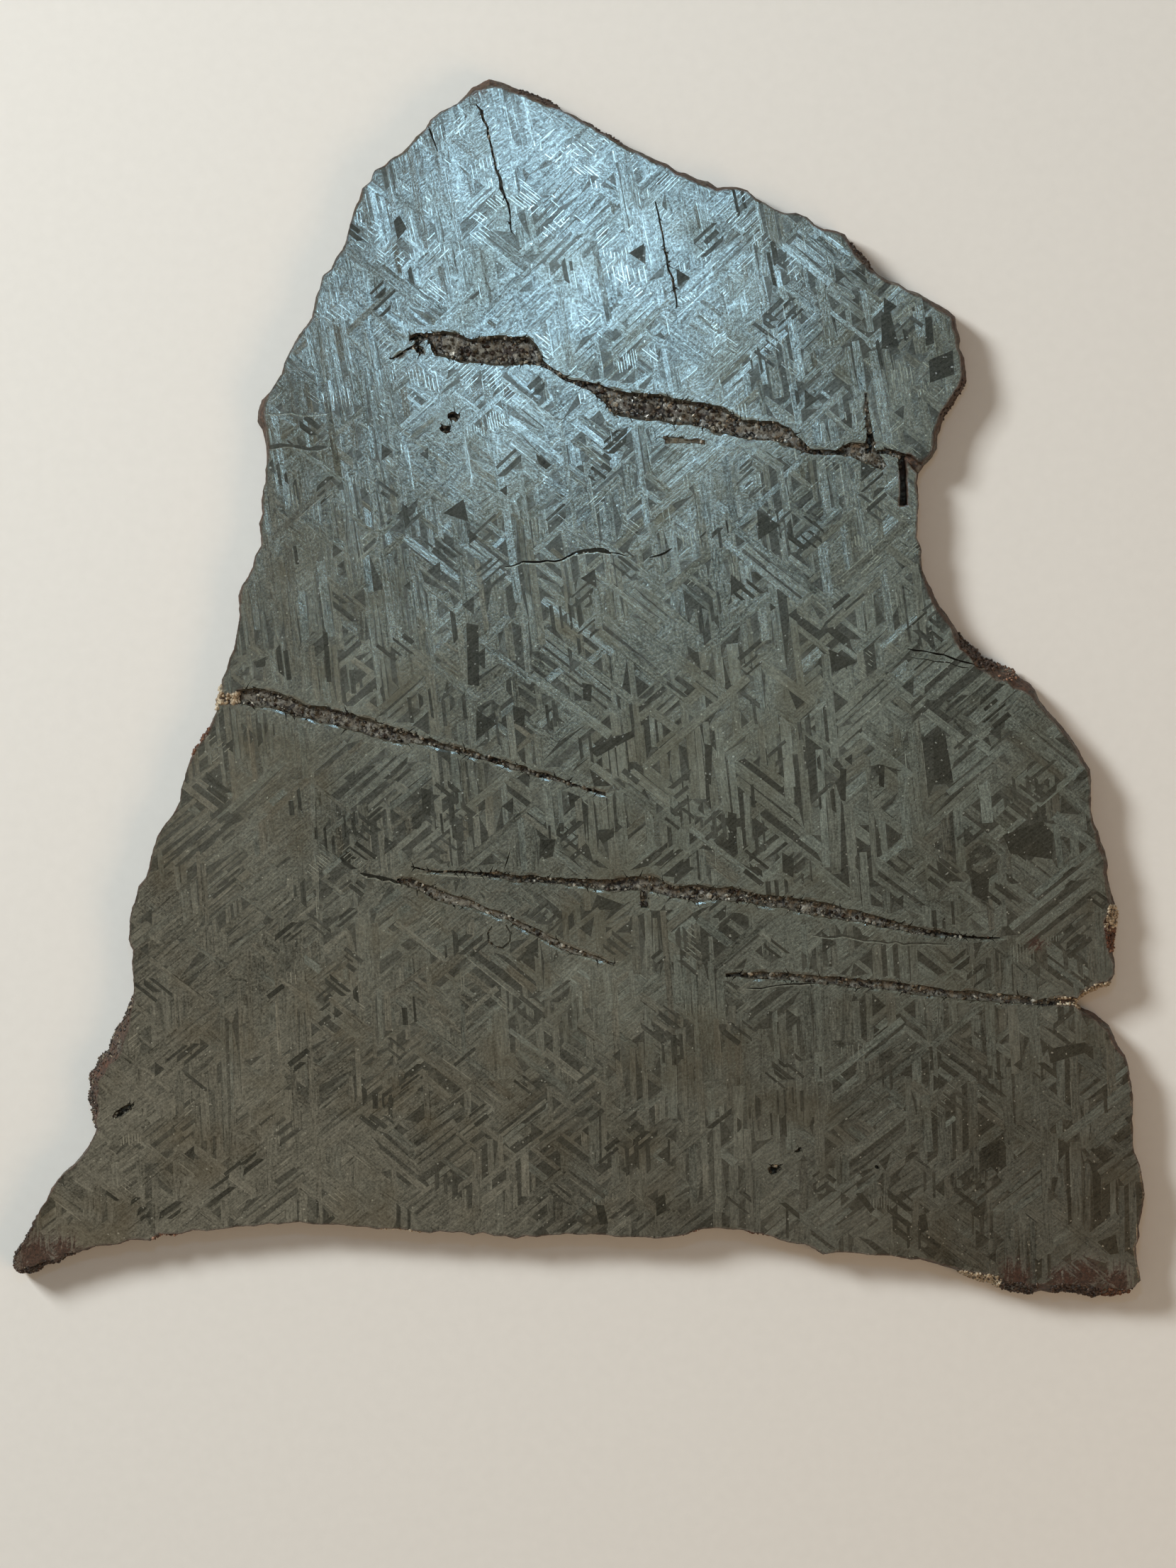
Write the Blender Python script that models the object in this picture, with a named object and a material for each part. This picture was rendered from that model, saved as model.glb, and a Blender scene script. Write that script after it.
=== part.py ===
"""An etched slice of an iron meteorite, lying on its sawn back with the etched face up.

One solid: a flat slab with a ragged natural rim, filled fissures sunk into the front, and pits.
X runs across the slice, Y along its longest side and Z out of the etched face.
"""

import math
import random

import bmesh
import bpy
from mathutils import Matrix, Vector
from mathutils.geometry import interpolate_bezier

# Driving dimensions, in millimetres
LENGTH = 130.0
THICKNESS = 4.0
RIM_STEP = 1.15
RIM_ROUGHNESS = 0.10
FISSURE_STEP = 0.95
FISSURE_ROUGHNESS = 0.11
FISSURE_DEPTH = 0.75
FLOOR_SHARE = 0.62
DEPTH_SPREAD = (0.85, 1.15)
CUTTER_RISE = 0.5
PIT_SIDES = 9
PIT_FLOOR_SHARE = 0.55
PIT_SWELL = (0.82, 1.15)

METRES_PER_MM = 0.001
SEED = 41

# The rim as seen from the front, clockwise from the top: x, y, and how far the front edge
# lies inside it, where natural surface shows beside the etched face.
RIM = [
    (-9.7, 65.0, 1.1), (-7.2, 64.4, 0.9), (-5.2, 63.3, 0.8), (-2.6, 62.3, 0.9), (-2.1, 61.5, 0.2),
    (-0.4, 60.9, 0.6), (2.1, 59.4, 0.4), (4.7, 58.0, 0.5), (9.5, 55.7, 0.7), (13.7, 54.1, 0.8),
    (14.9, 53.3, 0.7), (16.6, 53.5, 0.5), (21.3, 50.9, 0.3), (23.5, 50.3, 0.3), (25.8, 49.0, 0.4),
    (28.0, 48.5, 0.6), (30.3, 46.2, 0.9), (31.2, 44.7, 0.6), (33.8, 43.1, 0.5), (36.3, 41.9, 0.5),
    (39.3, 40.3, 0.8), (40.1, 39.1, 0.7), (40.8, 35.1, 0.5), (41.3, 32.9, 0.8), (40.2, 30.9, 0.6),
    (38.6, 27.8, 0.7), (37.7, 24.5, 0.5), (36.5, 23.4, 0.4), (36.0, 21.0, 0.2), (35.9, 16.9, 0.15),
    (36.4, 13.3, 0.15), (37.8, 9.7, 0.8), (39.7, 7.3, 0.7), (40.5, 5.7, 0.9), (42.3, 4.1, 1.3),
    (43.8, 2.9, 1.5), (45.5, 2.3, 1.7), (48.0, 0.5, 1.3), (49.1, -1.4, 0.6), (50.4, -2.8, 0.5),
    (52.1, -5.0, 0.5), (53.8, -7.6, 0.5), (54.7, -9.2, 0.5), (54.4, -10.8, 0.2), (54.8, -13.2, 0.3),
    (55.5, -16.3, 0.8), (56.3, -18.5, 0.6), (56.5, -21.3, 0.6), (57.1, -22.8, 0.8), (57.2, -24.9, 1.7),
    (56.8, -27.8, 0.8), (57.1, -30.3, 0.3), (56.1, -31.8, 0.8), (52.7, -33.2, 0.4), (52.8, -33.8, 0.4),
    (54.7, -34.8, 0.6), (56.2, -35.7, 0.7), (57.8, -38.7, 0.4), (58.6, -41.1, 0.3), (58.9, -44.5, 0.3),
    (58.9, -48.2, 0.25), (59.9, -52.1, 0.2), (60.2, -53.8, 0.2), (59.7, -56.9, 0.2), (59.3, -60.1, 0.2),
    (59.5, -63.7, 0.3), (58.1, -64.6, 0.8), (55.9, -65.0, 1.2), (52.1, -64.5, 1.0), (49.8, -64.7, 1.2),
    (46.1, -64.3, 1.2), (42.7, -63.3, 1.0), (40.4, -62.3, 0.5), (38.2, -61.4, 0.3), (33.7, -60.5, 0.15),
    (28.8, -60.1, 0.15), (26.1, -60.3, 0.3), (23.9, -59.3, 0.15), (19.8, -58.4, 0.2), (16.7, -57.8, 0.1),
    (12.6, -57.6, 0.1), (10.3, -58.4, 0.1), (6.6, -58.5, 0.1), (-1.3, -58.1, 0.1), (-6.2, -58.6, 0.2),
    (-10.3, -58.1, 0.1), (-17.5, -57.9, 0.2), (-22.4, -57.4, 0.2), (-28.4, -57.0, 0.1),
    (-34.4, -57.1, 0.1), (-40.1, -57.8, 0.1), (-45.3, -58.6, 0.3), (-51.0, -59.5, 0.2),
    (-54.7, -60.7, 0.4), (-58.1, -62.1, 0.8), (-59.6, -62.7, 0.9), (-60.2, -61.6, 0.3),
    (-60.0, -60.0, 0.2), (-58.6, -58.0, 0.2), (-58.0, -56.3, 0.2), (-56.6, -53.9, 0.2),
    (-54.2, -51.1, 0.2), (-53.2, -50.2, 0.3), (-51.7, -47.5, 0.2), (-52.0, -45.6, 0.8),
    (-52.4, -43.0, 1.2), (-51.9, -40.6, 1.2), (-50.4, -38.1, 1.6), (-49.3, -36.3, 1.4),
    (-48.1, -34.1, 0.5), (-47.5, -31.7, 0.15), (-47.7, -28.3, 0.15), (-48.0, -25.8, 0.15),
    (-47.3, -22.5, 0.15), (-46.5, -20.2, 0.3), (-45.4, -17.6, 0.2), (-44.9, -15.4, 0.3),
    (-43.5, -13.8, 0.2), (-42.5, -11.0, 0.15), (-41.5, -7.5, 0.3), (-39.5, -4.2, 0.4),
    (-38.7, -2.3, 0.2), (-38.3, -0.8, 0.3), (-37.8, 1.6, 0.15), (-36.8, 4.4, 0.15), (-36.2, 8.2, 0.15),
    (-36.4, 9.7, 0.3), (-35.2, 12.1, 0.3), (-34.2, 15.1, 0.2), (-33.9, 19.9, 0.15), (-33.4, 23.6, 0.2),
    (-33.7, 27.2, 0.6), (-34.6, 28.9, 0.9), (-33.7, 30.8, 0.5), (-32.1, 32.7, 0.15),
    (-31.0, 35.5, 0.15), (-29.5, 38.1, 0.2), (-28.4, 39.8, 0.2), (-28.2, 41.7, 0.2), (-27.2, 43.8, 0.2),
    (-25.5, 46.0, 0.15), (-24.5, 49.6, 0.2), (-23.3, 52.7, 0.2), (-21.9, 54.7, 0.25),
    (-18.6, 57.3, 0.3), (-16.7, 59.5, 0.4), (-15.5, 60.9, 0.3), (-13.4, 62.1, 0.3), (-11.7, 63.9, 0.8),
    (-10.7, 64.6, 1.2),
]

# The lists here are real sizes for a slice 130 mm long. Another LENGTH stretches them all.
PLAN_SCALE = LENGTH / (max(y for _, y, _ in RIM) - min(y for _, y, _ in RIM))

# Rings of the rim, from the back up: share of the thickness, share of the front edge's setback,
# and a plain inset in millimetres.
RIM_RINGS = [(0.0, 0.0, 0.28), (0.22, 0.0, 0.0), (0.55, 0.18, 0.0), (0.84, 0.62, 0.0), (1.0, 1.0, 0.0)]

# Fissures as stations along their middle: x, y and width at the front face.
UPPER_FISSURE = [
    (-20.1, 34.8, 0.25), (-18.8, 35.4, 0.35), (-17.6, 36.0, 0.5), (-17.0, 36.9, 0.8),
    (-16.1, 37.2, 0.8), (-14.9, 36.5, 3.2), (-13.4, 36.2, 3.3), (-11.8, 35.7, 3.1), (-8.8, 35.7, 3.8),
    (-5.8, 35.7, 3.7), (-4.7, 34.9, 2.0), (-3.7, 34.1, 0.45), (-2.8, 33.6, 0.45), (-1.5, 32.6, 0.5),
    (-0.2, 32.3, 0.6), (1.7, 31.7, 1.4), (3.2, 30.9, 2.2), (3.9, 30.2, 3.1), (6.2, 29.8, 3.3),
    (8.5, 29.6, 3.5), (10.0, 29.3, 3.2), (12.2, 29.0, 3.0), (14.5, 28.5, 3.4), (16.7, 27.5, 2.4),
    (19.0, 27.2, 2.3), (21.3, 27.1, 2.4), (22.8, 26.0, 1.8), (24.6, 25.0, 0.6), (26.9, 24.8, 0.5),
    (28.4, 25.2, 1.6), (29.9, 25.1, 2.5), (31.4, 24.1, 1.8), (32.4, 23.3, 1.0),
]
UPPER_FISSURE_END = [
    (31.5, 24.9, 0.6), (32.9, 25.1, 0.8), (33.7, 24.7, 0.8), (34.9, 24.4, 0.8), (35.7, 23.5, 1.4),
    (36.5, 22.9, 1.6), (38.0, 22.3, 1.8),
]
LEFT_FISSURE = [
    (-36.4, -1.1, 1.8), (-34.4, -1.1, 2.4), (-32.9, -1.2, 2.3), (-31.4, -1.8, 2.3), (-30.5, -2.2, 2.0),
    (-29.2, -2.6, 1.8), (-27.6, -2.9, 2.3), (-26.1, -3.2, 2.0), (-24.6, -3.6, 2.3), (-22.8, -4.1, 1.8),
    (-20.9, -4.8, 2.0), (-19.4, -5.2, 1.9), (-17.1, -5.5, 1.1), (-13.4, -6.5, 0.7), (-11.5, -7.1, 0.6),
    (-8.1, -8.1, 0.7), (-3.0, -9.6, 0.6), (2.8, -11.4, 0.3),
]
LEFT_FISSURE_MOUTH = [(-40.0, -1.5, 1.2), (-37.6, -1.3, 1.2), (-36.2, -1.1, 1.3)]
LOWER_FISSURE = [
    (-17.9, -19.0, 0.2), (-16.0, -19.5, 0.25), (-10.8, -19.8, 0.35), (-10.0, -19.8, 0.6),
    (-8.8, -19.9, 0.9), (-7.3, -20.2, 1.0), (-5.8, -20.3, 1.0), (-2.8, -20.6, 0.8), (-0.6, -20.7, 0.9),
    (1.7, -20.9, 1.3), (3.9, -21.0, 1.6), (6.2, -20.9, 1.8), (7.7, -20.8, 2.1), (9.2, -21.6, 1.5),
    (10.7, -21.9, 1.6), (12.2, -21.8, 2.1), (13.7, -22.0, 1.7), (15.2, -22.0, 1.5), (16.4, -21.9, 2.0),
    (17.5, -22.3, 1.3), (19.7, -22.6, 1.4), (22.0, -22.9, 1.6), (24.0, -23.3, 1.8), (29.5, -24.3, 1.6),
    (34.8, -25.7, 1.0), (39.8, -26.4, 0.5), (44.6, -26.6, 0.25),
]
LOWER_FISSURE_POCKET = [(6.9, -21.4, 1.2), (6.8, -22.2, 1.3), (6.8, -23.4, 1.0)]
DIAGONAL_FISSURE = [
    (-19.4, -20.4, 0.6), (-17.1, -21.1, 1.3), (-15.2, -22.0, 1.6), (-13.4, -22.6, 1.5),
    (-11.5, -23.0, 1.1), (-9.6, -23.8, 0.9), (-7.7, -24.4, 0.9), (-6.2, -25.3, 0.9), (-4.6, -26.0, 1.0),
    (-3.2, -26.8, 0.9), (-1.3, -27.8, 0.9), (0.6, -28.3, 0.7), (3.7, -29.4, 0.3),
]
NOTCH_FISSURE = [
    (15.6, -30.5, 0.4), (18.2, -30.6, 0.9), (21.8, -30.7, 0.9), (25.8, -31.1, 1.0), (29.6, -31.4, 1.2),
    (33.7, -31.8, 1.3), (39.9, -32.6, 1.1), (45.3, -33.0, 1.1), (48.9, -33.5, 0.9), (51.3, -33.3, 1.0),
    (54.0, -33.5, 1.1),
]
SLOT = [(34.2, 24.6, 0.9), (34.3, 21.7, 0.9), (34.4, 19.3, 1.0)]
CHIMNEY = [(30.8, 27.0, 0.8), (30.7, 24.8, 0.9)]
CHIMNEY_BAND = [(30.3, 31.2, 0.35), (30.5, 29.0, 0.6), (30.7, 26.8, 0.8)]
TOP_CRACK = [
    (-11.0, 61.8, 0.2), (-10.4, 61.1, 0.3), (-9.9, 59.4, 0.3), (-9.4, 57.5, 0.25), (-9.0, 56.0, 0.3),
    (-8.5, 53.5, 0.4), (-7.6, 51.2, 0.3), (-7.3, 48.4, 0.2),
]
TOP_RIGHT_CRACK = [
    (8.0, 51.5, 0.2), (8.6, 49.2, 0.25), (9.1, 46.6, 0.3), (9.4, 44.7, 0.3), (10.0, 42.8, 0.35),
    (10.3, 40.5, 0.2),
]
INCLUSION_PLATE = [(9.0, 26.3, 0.9), (13.3, 26.0, 0.75)]

# The round inclusion beside the diagonal fissure, ringed by a fine groove
RING_CENTRE = (-8.6, -26.4)
RING_RADIUS = 1.25
RING_WIDTH = 0.28
RING_DEPTH = 0.3
RING_GAP_DEGREES = 70
RING_STRETCHES = 12

# Name, stations and depth of every cut made with a ribbon-shaped cutter. The finer ones are
# shallower, and the slot and the chimney, where the slice has parted, are the deepest.
FISSURES = [
    ("upper_fissure", UPPER_FISSURE, FISSURE_DEPTH),
    ("upper_fissure_end", UPPER_FISSURE_END, 1.1 * FISSURE_DEPTH),
    ("left_fissure", LEFT_FISSURE, FISSURE_DEPTH),
    ("left_fissure_mouth", LEFT_FISSURE_MOUTH, 0.5 * FISSURE_DEPTH),
    ("lower_fissure", LOWER_FISSURE, FISSURE_DEPTH),
    ("lower_fissure_pocket", LOWER_FISSURE_POCKET, 0.6 * FISSURE_DEPTH),
    ("diagonal_fissure", DIAGONAL_FISSURE, 0.6 * FISSURE_DEPTH),
    ("notch_fissure", NOTCH_FISSURE, 0.8 * FISSURE_DEPTH),
    ("slot", SLOT, 2.2 * FISSURE_DEPTH),
    ("chimney", CHIMNEY, 2.1 * FISSURE_DEPTH),
    ("chimney_band", CHIMNEY_BAND, 0.4 * FISSURE_DEPTH),
    ("top_crack", TOP_CRACK, 0.6 * FISSURE_DEPTH),
    ("top_right_crack", TOP_RIGHT_CRACK, 0.5 * FISSURE_DEPTH),
    ("inclusion_plate", INCLUSION_PLATE, 0.3 * FISSURE_DEPTH),
]

# Pits: x, y, half length, half width, turn in degrees and depth
PITS = [
    (-13.4, 28.7, 0.80, 0.55, -10, 1.0), (-14.3, 27.4, 0.75, 0.62, 0, 1.1),
    (-17.3, 37.2, 0.95, 0.60, 15, 1.6), (-17.0, 35.8, 0.65, 0.50, 0, 1.6),
    (20.7, -51.2, 0.80, 0.62, 45, 1.3), (23.2, -49.1, 0.38, 0.28, 30, 0.7),
    (31.6, -51.0, 0.36, 0.26, -30, 0.6), (-48.5, -45.0, 1.40, 0.50, 33, 1.0),
]


def reset_scene():
    for item in list(bpy.data.objects):
        bpy.data.objects.remove(item)


def smooth_loop(points, step):
    """Evenly spaced points along a smooth closed curve through the given ones."""
    dense = []
    count = len(points)
    for i in range(count):
        before, start, end, after = (points[(i + k) % count] for k in (-1, 0, 1, 2))
        reach = (end - start).length / 4
        leave = (end - before).normalized() * reach
        arrive = (after - start).normalized() * reach
        dense += interpolate_bezier(start, start + leave, end - arrive, end, 8)[:-1]
    return even_points(dense + dense[:1], step)[:-1]


def even_points(points, step):
    """The same route with its points spread evenly, about one step apart."""
    runs = [(b - a).length for a, b in zip(points, points[1:])]
    pieces = max(1, round(sum(runs) / step))
    spacing = sum(runs) / pieces
    route = [points[0].copy()]
    walked = 0.0
    for a, b, run in zip(points, points[1:], runs):
        while len(route) < pieces and walked + run >= len(route) * spacing:
            route.append(a.lerp(b, (len(route) * spacing - walked) / run))
        walked += run
    return route + [points[-1].copy()]


def mesh_object(name, verts, faces):
    """An object from corners in millimetres, with all its faces turned outwards."""
    scale = Vector((PLAN_SCALE, PLAN_SCALE, 1)) * METRES_PER_MM
    mesh = bpy.data.meshes.new(name)
    mesh.from_pydata([Vector(vert) * scale for vert in verts], [], faces)
    shape = bmesh.new()
    shape.from_mesh(mesh)
    bmesh.ops.recalc_face_normals(shape, faces=shape.faces)
    shape.to_mesh(mesh)
    shape.free()
    piece = bpy.data.objects.new(name, mesh)
    bpy.context.scene.collection.objects.link(piece)
    return piece


def loft(name, rings):
    """A closed solid through rings that have the same number of corners."""
    size = len(rings[0])
    verts = [corner for ring in rings for corner in ring]
    faces = [tuple(range(size)), tuple(range(len(verts) - size, len(verts)))]
    for start in range(0, len(verts) - size, size):
        for i in range(size):
            j = (i + 1) % size
            faces.append((start + i, start + j, start + size + j, start + size + i))
    return mesh_object(name, verts, faces)


def make_slab(rng):
    """The slab itself. Its rim's points carry the setback as their third coordinate."""
    rim = smooth_loop([Vector(point) for point in RIM], RIM_STEP)
    inward = []
    for i, point in enumerate(rim):
        along = rim[(i + 2) % len(rim)] - rim[i - 2]
        inward.append(Vector((along.y, -along.x)).normalized())
    bumps = [rng.gauss(0, RIM_ROUGHNESS) for _ in rim]
    rings = []
    for height, setback_share, inset in RIM_RINGS:
        ring = []
        for point, normal, bump in zip(rim, inward, bumps):
            wander = rng.uniform(-RIM_ROUGHNESS, RIM_ROUGHNESS) / 2
            reach = point.z * setback_share + inset + bump + wander
            place = point.xy + normal * reach
            ring.append((place.x, place.y, height * THICKNESS))
        rings.append(ring)
    return loft("meteorite_slice", rings)


def ribbon_cutter(name, stations, depth, rng):
    """A cutter that follows a fissure, wider at the front face than at its floor."""
    route = even_points([Vector(station) for station in stations], FISSURE_STEP)
    rings = []
    for i, point in enumerate(route):
        along = route[min(i + 1, len(route) - 1)] - route[max(i - 1, 0)]
        across = Vector((-along.y, along.x)).normalized()
        ragged = min(FISSURE_ROUGHNESS, 0.2 * point.z)
        left = point.z / 2 + rng.uniform(-ragged, ragged)
        right = point.z / 2 + rng.uniform(-ragged, ragged)
        floor = THICKNESS - depth * rng.uniform(*DEPTH_SPREAD)
        top = THICKNESS + CUTTER_RISE
        ring = []
        for reach, height in ((left, top), (-right, top), (-right * FLOOR_SHARE, floor),
                              (left * FLOOR_SHARE, floor)):
            place = point.xy + across * reach
            ring.append((place.x, place.y, height))
        rings.append(ring)
    return loft(name, rings)


def pit_cutter(name, x, y, half_length, half_width, turn, depth, rng):
    """A cutter for one pit, a rough cone cut short."""
    swells = [rng.uniform(*PIT_SWELL) for _ in range(PIT_SIDES)]
    rings = []
    for height, share in ((THICKNESS + CUTTER_RISE, 1.0), (THICKNESS - depth, PIT_FLOOR_SHARE)):
        ring = []
        for i, swell in enumerate(swells):
            angle = math.tau * i / PIT_SIDES
            corner = Vector((half_length * math.cos(angle), half_width * math.sin(angle)))
            corner.rotate(Matrix.Rotation(math.radians(turn), 2))
            ring.append((x + corner.x * swell * share, y + corner.y * swell * share, height))
        rings.append(ring)
    return loft(name, rings)


def ring_groove_stations():
    """The groove round the inclusion, open on the side where the fissure passes."""
    sweep = 360 - RING_GAP_DEGREES
    stations = []
    for i in range(RING_STRETCHES + 1):
        angle = math.radians(90 + RING_GAP_DEGREES / 2 + sweep * i / RING_STRETCHES)
        x = RING_CENTRE[0] + RING_RADIUS * math.cos(angle)
        y = RING_CENTRE[1] + RING_RADIUS * math.sin(angle)
        stations.append((x, y, RING_WIDTH))
    return stations


def cut(piece, cutter):
    cutter.hide_render = True
    cutter.display_type = "WIRE"
    boolean = piece.modifiers.new(cutter.name, "BOOLEAN")
    boolean.operation = "DIFFERENCE"
    boolean.solver = "EXACT"
    boolean.object = cutter


def meteorite_iron():
    material = bpy.data.materials.new("etched_meteorite_iron")
    material.use_nodes = True
    shader = material.node_tree.nodes["Principled BSDF"]
    shader.inputs["Base Color"].default_value = (0.115, 0.125, 0.115, 1)
    shader.inputs["Metallic"].default_value = 1.0
    shader.inputs["Roughness"].default_value = 0.42
    return material


def centre_on_origin(piece):
    """Moves the slab and its cutters so that the slab's box is centred over the origin."""
    corners = [Vector(corner) for corner in piece.bound_box]
    middle_x = (min(c.x for c in corners) + max(c.x for c in corners)) / 2
    middle_y = (min(c.y for c in corners) + max(c.y for c in corners)) / 2
    for item in bpy.context.scene.collection.objects:
        item.location = (-middle_x, -middle_y, 0)


def main():
    reset_scene()
    rng = random.Random(SEED)
    piece = make_slab(rng)
    piece.data.materials.append(meteorite_iron())
    for name, stations, depth in FISSURES + [("ring_groove", ring_groove_stations(), RING_DEPTH)]:
        cut(piece, ribbon_cutter(name, stations, depth, rng))
    for number, pit in enumerate(PITS, start=1):
        cut(piece, pit_cutter(f"pit_{number}", *pit, rng))
    centre_on_origin(piece)


main()
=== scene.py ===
"""An etched iron meteorite slice, lying on a pale floor and seen from straight above."""

import math
import random

import bmesh
import bpy
import numpy as np
from mathutils import Matrix, Vector, noise
from mathutils.geometry import delaunay_2d_cdt
from mathutils.kdtree import KDTree


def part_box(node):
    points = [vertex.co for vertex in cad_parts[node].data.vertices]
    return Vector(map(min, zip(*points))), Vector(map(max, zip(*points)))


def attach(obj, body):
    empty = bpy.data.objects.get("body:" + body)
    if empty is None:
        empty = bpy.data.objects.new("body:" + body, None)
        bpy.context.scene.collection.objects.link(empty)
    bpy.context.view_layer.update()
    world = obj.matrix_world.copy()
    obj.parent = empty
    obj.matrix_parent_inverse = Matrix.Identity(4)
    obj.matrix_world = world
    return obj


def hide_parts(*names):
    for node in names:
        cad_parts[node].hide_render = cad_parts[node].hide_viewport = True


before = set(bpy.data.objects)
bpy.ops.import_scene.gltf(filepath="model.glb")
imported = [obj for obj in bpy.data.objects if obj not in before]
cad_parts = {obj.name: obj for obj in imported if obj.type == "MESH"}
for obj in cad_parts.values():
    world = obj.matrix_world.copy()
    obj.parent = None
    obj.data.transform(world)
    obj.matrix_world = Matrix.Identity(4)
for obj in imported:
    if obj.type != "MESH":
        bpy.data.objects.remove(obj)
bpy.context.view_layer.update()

# The slab
# One piece of iron-nickel, sawn from a meteorite. Its rim is the meteorite's own weathered
# surface and its fissures are filled with dark minerals. The solid's form is kept, and the rim
# and the fissures get a finer, rougher skin.
MM = 0.001
NODE = "meteorite_slice"
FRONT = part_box(NODE)[1].z
FRONT_IN_MM = FRONT / MM
WELD = 0.002 * MM
LEVEL = 0.01 * MM
FLAT = 0.9
REFINING_ROUNDS = 3
LONGEST_EDGE = 0.46 * MM
# The length and height of the skin's waves. The fissures have a broader one as well.
SKIN_WAVES = ((1.3 * MM, 0.07 * MM), (0.45 * MM, 0.08 * MM))
FISSURE_WAVE = (1.1 * MM, 0.13 * MM)
SKIN_SEED = 3
# Side faces this near to the edge of the back, in millimetres, belong to the rim
RIM_REACH = 2.0
LOOP_SAMPLE = 0.08
ETCHED, RIM, FILLING, SAWN = range(4)


def solid_without_front():
    """The CAD solid with its flat front taken off, ready for a new one."""
    shape = bmesh.new()
    shape.from_mesh(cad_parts[NODE].data)
    bmesh.ops.remove_doubles(shape, verts=shape.verts, dist=WELD)
    front = [f for f in shape.faces if f.normal.z > FLAT and f.calc_center_median().z > FRONT - LEVEL]
    bmesh.ops.delete(shape, geom=front, context="FACES_ONLY")
    bmesh.ops.delete(shape, geom=[e for e in shape.edges if not e.link_faces], context="EDGES")
    return shape


def is_back(face):
    return face.normal.z < -FLAT and face.calc_center_median().z < LEVEL


def refine_sides(shape):
    """Splits the edges of the rim and the fissures until they are short."""
    for _ in range(REFINING_ROUNDS):
        long_edges = [
            e for e in shape.edges
            if e.calc_length() > LONGEST_EDGE and not all(is_back(f) for f in e.link_faces)
        ]
        bmesh.ops.subdivide_edges(shape, edges=long_edges, cuts=1)
        bmesh.ops.triangulate(shape, faces=[f for f in shape.faces if len(f.verts) > 3])


def roughen_sides(shape, back_loop):
    """Moves every point but those of the flat back. A point of the front's edge stays level."""
    noise.seed_set(SKIN_SEED)
    gaps = gaps_to_loops([vert.co.xy / MM for vert in shape.verts], [back_loop])
    for vert, gap in zip(shape.verts, gaps):
        if vert.co.z < LEVEL:
            continue
        shift = Vector()
        for wave, height in SKIN_WAVES if gap < RIM_REACH else (*SKIN_WAVES, FISSURE_WAVE):
            shift += noise.noise_vector(vert.co / wave) * height
        if vert.co.z > FRONT - LEVEL:
            shift.z = 0
        vert.co += shift


def open_edges(shape):
    """The edges with one face, which the new front joins."""
    return [e for e in shape.edges if len(e.link_faces) == 1]


def closed_loops(border):
    """The closed chains of edges as points in millimetres, the slice's outline first."""
    neighbours = {}
    for edge in border:
        a, b = edge.verts
        neighbours.setdefault(a, []).append(b)
        neighbours.setdefault(b, []).append(a)
    left = dict.fromkeys(sorted(neighbours, key=lambda v: -v.co.y))
    loops = []
    while left:
        start = next(iter(left))
        loop = [start, neighbours[start][0]]
        while True:
            following = [v for v in neighbours[loop[-1]] if v is not loop[-2]]
            if not following or following[0] not in left or following[0] is start:
                break
            loop.append(following[0])
        for vert in loop:
            left.pop(vert, None)
        loops.append(np.array([vert.co.xy / MM for vert in loop]))
    return loops


def gaps_to_loops(places, loops):
    """How far each place lies from the nearest of some loops, in millimetres."""
    samples = []
    for loop in loops:
        for a, b in zip(loop, np.roll(loop, -1, axis=0)):
            count = max(1, math.ceil(math.dist(a, b) / LOOP_SAMPLE))
            samples += [a + (b - a) * i / count for i in range(count)]
    tree = KDTree(len(samples))
    for i, sample in enumerate(samples):
        tree.insert((*sample, 0), i)
    tree.balance()
    return [tree.find((*place, 0))[2] for place in places]


def add_object(name, data):
    made = bpy.data.objects.new(name, data)
    bpy.context.scene.collection.objects.link(made)
    return made


shape = solid_without_front()
front_loops = closed_loops(open_edges(shape))
outline = front_loops[0]
back_loop = closed_loops([e for e in shape.edges if sum(map(is_back, e.link_faces)) == 1])[0]
refine_sides(shape)
roughen_sides(shape, back_loop)
rim_layer = shape.verts.layers.float.new("near_rim")
border = open_edges(shape)

# The etched front
# Acid has brought out the bands of two iron-nickel alloys that grew across each other as the
# metal cooled. They are grown here in the same way: bands start at random places, run in three
# directions and stop where they meet an older one, and what they leave free stays a dark field.
# Every size here is in millimetres.
CELL = 0.15
GROWTH_SEED = 7
UPRIGHT, RISING, FALLING = range(3)
PLAIN_GRAIN = (0.8, 0.6)
NO_LEAN = (0, 0)
QUAD = ((-1, -1), (1, -1), (1, 1), (-1, 1))

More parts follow.
